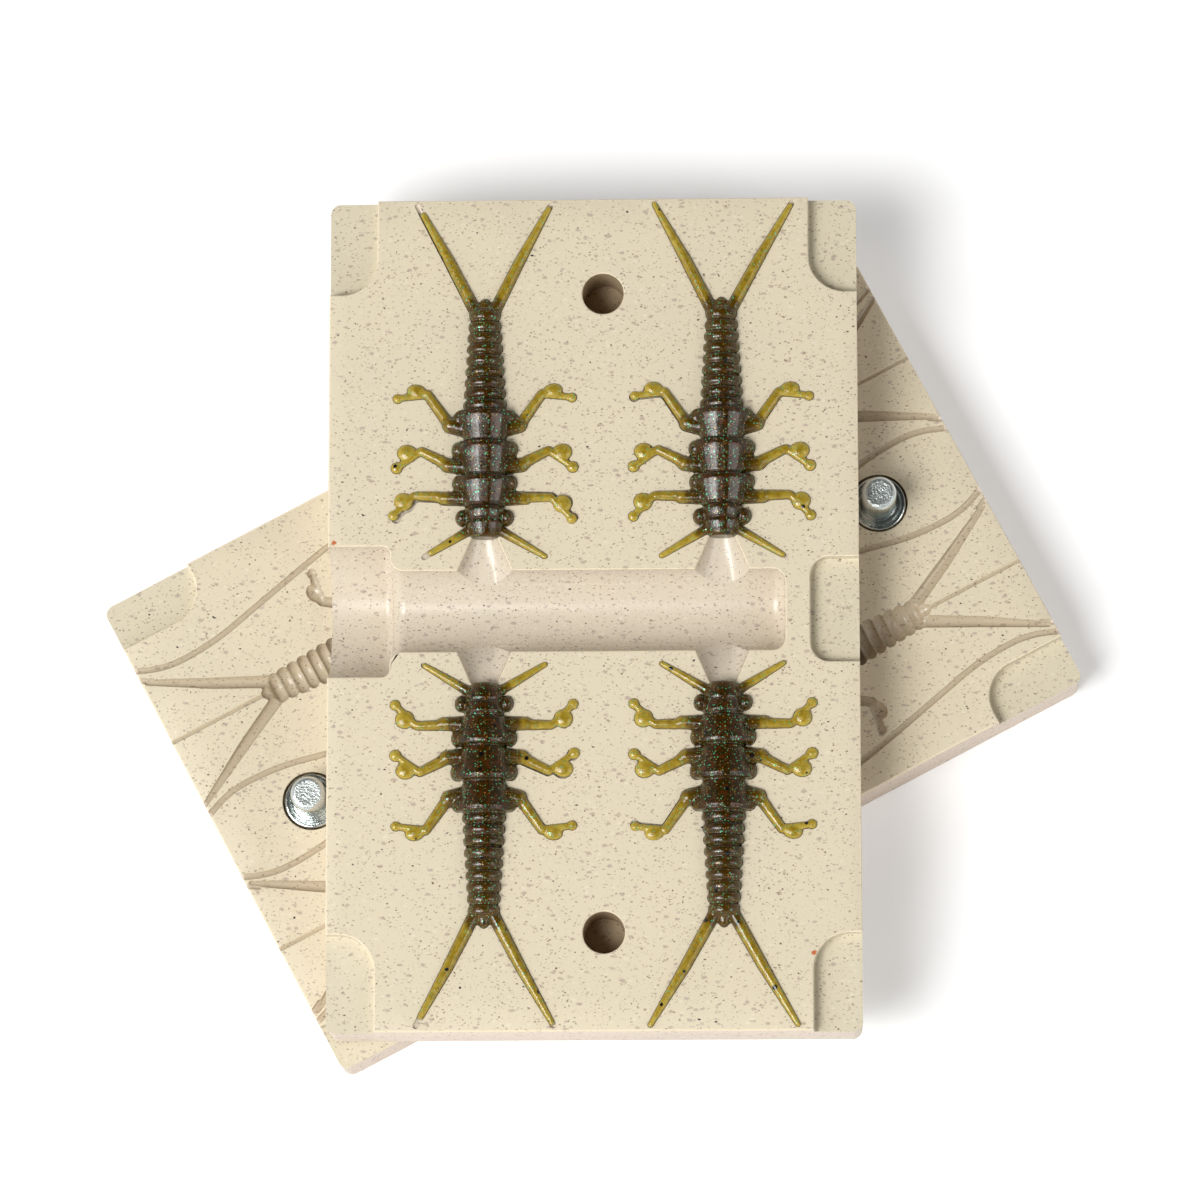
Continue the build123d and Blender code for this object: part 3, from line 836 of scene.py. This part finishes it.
# The frame says where each half lies
leftPin, rightPin = middleOf("guide_pin_left"), middleOf("guide_pin_right")
axis = (rightPin - leftPin).xy.normalized()
cross = math.atan2(axis.x, axis.y)
middle = (leftPin + rightPin) / 2
offset = Vector((plateSet["offset"] * mm * math.cos(cross), -plateSet["offset"] * mm * math.sin(cross)))
lowerPlace = Matrix.Translation((middle.x - offset.x, middle.y - offset.y, plateSet["thickness"] * mm))
lowerPlace = lowerPlace @ Matrix.Rotation(-cross, 4, "Z")
upperMiddle = middleOf("upper_mould_half")
upperPlace = Matrix.Translation((upperMiddle.x, upperMiddle.y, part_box("upper_mould_half")[1].z))

stoneFace = castStone("castStoneFace", (1.0, 1.0, 1.0, 1.0), 0.42)
stoneTrough = castStone("castStoneMilled", (0.95, 0.945, 1.02, 1.0), 0.25, 1.0, 0.5)
# Partly painted highlight: a lighter copy with fainter grains for the rounded edges and mouth chamfers, for the
# light these rims catch and their whiter milled surface
stoneEdgeHighlit = castStone("castStoneEdgeWhiteAndHighlit", (1.12, 1.10, 1.08, 1.0), 0.42, 0.4)
# Painted shade: a darker copy of the stone for the guide bores, standing for the shade inside the deep holes
stoneBoreShaded = castStone("castStoneBoreShaded", (0.60, 0.52, 0.44, 1.0), 0.5)
# Painted light: a brighter, pinker copy of the stone for the plates' outer sides, standing for light bounced up
# from the white floor
stoneSideLit = castStone("castStoneSideLit", (1.04, 0.99, 1.10, 1.0), 0.50)
# Painted shade: a satin copy of the stone, darker for the shade in the lower half's cavities and vents
stoneCavityShaded = castStone("castStoneCavityShaded", (0.76, 0.72, 0.69, 1.0), 0.24, 0.8, 0.6)
# Painted shade: a slightly greyer copy of the stone for the corner and side pocket floors, for the shade in these
# recesses
stonePocketShaded = castStone("castStonePocketShaded", (0.95, 0.965, 0.97, 1.0), 0.42)
stones = (stoneFace, stoneTrough, stoneEdgeHighlit, stoneBoreShaded, stoneSideLit, stoneCavityShaded, stonePocketShaded)
plastic = softPlastic("nymphPlastic")
addCamera()
print("camera and finishes made")


# Each casting came out a little different; "groove" is how its cavity's forks are turned
castingSet = {
    "cast_lure_back_left": {
        "column": 0, "side": 1,
        "groove": {("fork", -1): (-0.1, 0.0), ("fork", 1): (-0.4, 0.0)},
        "lean": {("fork", -1): (-0.25, 0.0), ("fork", 1): (-0.4, 0.0), ("front", -1): (0.45, 0.35),
                 ("front", 1): (-0.2, -0.3)},
        "short": {("antenna", -1): 0.72, ("fork", -1): 0.84, ("fork", 1): 0.93}},
    "cast_lure_front_left": {
        "column": 0, "side": -1,
        "groove": {("fork", 1): (-0.3, 0.0)},
        "lean": {("fork", 1): (-0.3, 0.0), ("middle", -1): (0.2, -0.2)},
        "short": {("antenna", 1): 0.95, ("fork", 1): 0.84, ("fork", -1): 0.95}},
    "cast_lure_back_right": {
        "column": 1, "side": 1,
        "groove": {("fork", -1): (-0.35, 0.0), ("fork", 1): (0.4, 0.0)},
        "lean": {("fork", -1): (-0.35, 0.0), ("fork", 1): (0.4, 0.0), ("hind", -1): (-0.1, 0.2)},
        "short": {("fork", 1): 0.95}},
    "cast_lure_front_right": {
        "column": 1, "side": -1,
        "groove": {("fork", -1): (0.5, 0.0), ("fork", 1): (0.6, 0.0)},
        "lean": {("fork", -1): (0.5, 0.0), ("fork", 1): (0.6, 0.0), ("hind", 1): (0.0, 0.2)},
        "short": {}},
}


def cavityTools():
    tools = []
    for size in castingSet.values():
        tool = lureMesh("cavity", 0.06, 0.17, 0.5, stoneTrough, size["groove"])
        turn = 0.0 if size["side"] > 0 else math.pi
        middle = (columns[size["column"]], size["side"] * plateSet["snoutToCentre"], 0)
        tool.data.transform(Matrix.Translation(middle) @ Matrix.Rotation(turn, 4, "Z"))
        tools.append(tool)
    return tools


def makeUpperHalf():
    size = plateSet
    plate = plateBlank("upperHalf")
    tools = pocketTools() + troughTools() + gateTools() + cavityTools()
    bore, depth = size["boreRadius"], size["boreDepth"]
    profile = ((0.02, -depth), (bore, -depth), (bore, -0.15), (bore + 0.15 + beyond, beyond), (0.02, beyond))
    for side in (-1, 1):
        tools.append(holeTool("bore", (size["offset"], side * size["pinSpacing"] / 2), profile))
    carve(plate, tools)
    finishFaces(plate, stones, 1)
    placeMesh(plate, upperPlace)
    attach(plate, "root")
    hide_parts("upper_mould_half")
    print("upper half:", len(plate.data.polygons), "faces")


def makeLowerHalf():
    size = plateSet
    plate = plateBlank("lowerHalf")
    tools = pocketTools() + troughTools() + gateTools() + cavityTools() + ventTools(stoneTrough)
    wide, deep = size["counterbore"], size["counterboreDepth"]
    stub, end = size["stubRadius"], size["stubDepth"]
    profile = ((0.02, -end), (stub, -end), (stub, -deep), (wide, -deep), (wide, -0.12),
               (wide + 0.12 + beyond, beyond), (0.02, beyond))
    for side in (-1, 1):
        tools.append(holeTool("counterbore", (size["offset"], side * size["pinSpacing"] / 2), profile))
    carve(plate, tools)
    # The lower half's cavities and vents get the copy with painted shade
    finishFaces(plate, stones, 5)
    placeMesh(plate, lowerPlace)
    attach(plate, "root")
    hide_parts("lower_mould_half")
    print("lower half:", len(plate.data.polygons), "faces")


def makeCasting(node, size):
    name = "nymph" + node[9:].title().replace("_", "")
    casting = lureMesh(name, 0.0, 0.15, 1.0, plastic, size["lean"], size["short"])
    casting.data.materials.clear()
    casting.data.materials.append(plastic)
    turn = 0.0 if size["side"] > 0 else math.pi
    place = upperPlace @ Matrix.Translation(
        (columns[size["column"]] * mm, size["side"] * plateSet["snoutToCentre"] * mm, 0))
    casting.data.transform(place @ Matrix.Rotation(turn, 4, "Z") @ Matrix.Scale(mm, 4))
    casting.data.shade_smooth()
    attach(casting, "root")
    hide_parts(node)
    print(name, len(casting.data.polygons), "faces")


# Guide pins: turned, flanged, their heads flattened with a hammer
pinSet = {"radius": 2.65, "height": 8.0, "flange": 4.25, "rimIn": 3.4, "steps": 96}


def makePins():
    size = pinSet
    radius, top = size["radius"], size["height"]
    profile = [(0.02, -7.75), (2.0, -7.75), (2.4, -7.35), (2.4, -1.75), (4.0, -1.75), (4.25, -1.6)]
    profile += arc((3.8, -0.6), 0.45, 0, 90, 6)
    profile += [(3.5, -0.18), (size["rimIn"], -0.3), (3.2, -0.62), (2.95, -0.66)]
    profile += [(2.75, -0.6), (2.66, -0.42), (radius, -0.2), (radius, 5.0)]
    profile += arc((radius - 0.85, top - 0.85), 0.85, 0, 78, 8)
    profile += [(1.78, top - 0.01), (1.3, top - 0.06), (0.7, top - 0.04), (0.02, top - 0.05)]
    zinc = zincPlate("zincPlate", 0.35, 1.9, 0.22)
    hammered = zincPlate("zincHammered", 0.9, 3.4, 0.36)
    for name, node in (("guidePinLeft", "guide_pin_left"), ("guidePinRight", "guide_pin_right")):
        pin = solidOf(name, spunRings(profile, size["steps"]))
        pin.data.materials.append(zinc)
        pin.data.materials.append(hammered)
        for face in pin.data.polygons:
            if face.center.z > top - 0.3 and face.normal.z > 0.7:
                face.material_index = 1
        place = middleOf(node)
        placeMesh(pin, Matrix.Translation((place.x, place.y, plateSet["thickness"] * mm)))
        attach(pin, "root")
        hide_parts(node)
    print("guide pins made")


# Studio: white floor, one large soft box at the left front and a weaker one at the right
studioSet = {
    "floorWhite": 0.92, "floorLift": 0.25, "horizon": 0.72, "front": 0.62, "zenith": 0.02,
    "boxes": (
        ("keyBox", (-0.66, -0.46, 1.30), (0.72, 0.72), 19.6),
        ("leftBox", (-0.76, -0.30, 0.74), (0.28, 0.46), 1.5),
        ("rightBox", (0.80, -0.24, 0.74), (0.40, 0.50), 2.0),
    ),
}


def makeStudio():
    size = studioSet
    bm = bmesh.new()
    bmesh.ops.create_grid(bm, x_segments=1, y_segments=1, size=4.0)
    floor = newObject("floor", meshOf("floor", bm))
    material, tree, shader = newMaterial("paperFloor")
    white = size["floorWhite"]
    shader.inputs["Base Color"].default_value = (white, white, white, 1.0)
    shader.inputs["Roughness"].default_value = 0.9
    shader.inputs["Specular IOR Level"].default_value = 0.1
    seen = addNode(tree, "ShaderNodeLightPath")
    lift = maths(tree, "MULTIPLY", seen.outputs["Is Camera Ray"], size["floorLift"])
    tree.links.new(lift, shader.inputs["Emission Strength"])
    shader.inputs["Emission Color"].default_value = (1.0, 1.0, 1.0, 1.0)
    floor.data.materials.append(material)

    # The ceiling is dark and the walls are pale, so gloss stays clean and the plates' sides stay bright
    world = bpy.data.worlds.new("studio")
    scene.world = world
    world.use_nodes = True
    tree = world.node_tree
    sky = tree.nodes["Background"]
    way = addNode(tree, "ShaderNodeTexCoord").outputs["Generated"]
    parts = addNode(tree, "ShaderNodeSeparateXYZ", {0: way}).outputs
    front = maths(tree, "MULTIPLY", maths(tree, "MULTIPLY", parts[1], -1.0, clamp=True), size["front"])
    wall = maths(tree, "ADD", front, size["horizon"])
    level = addNode(tree, "ShaderNodeMapRange", {
        "Value": parts[2], "From Max": 0.78, "To Min": wall, "To Max": size["zenith"]})
    seen = addNode(tree, "ShaderNodeLightPath").outputs["Is Camera Ray"]
    strength = addNode(tree, "ShaderNodeMix", {0: seen, 2: level.outputs[0], 3: 1.0})
    tree.links.new(strength.outputs[0], sky.inputs["Strength"])
    sky.inputs["Color"].default_value = (1.0, 1.0, 1.0, 1.0)

    for name, place, spread, power in size["boxes"]:
        data = bpy.data.lights.new(name, "AREA")
        data.shape = "RECTANGLE"
        data.size, data.size_y = spread
        data.energy = power
        box = newObject(name, data)
        aim = Vector(place).to_track_quat("Z", "Y").to_matrix().to_4x4()
        box.matrix_world = Matrix.Translation(place) @ aim


makeUpperHalf()
makeLowerHalf()
for node, size in castingSet.items():
    makeCasting(node, size)
makePins()
makeStudio()

scene.view_settings.view_transform = "Standard"
print("scene ready")
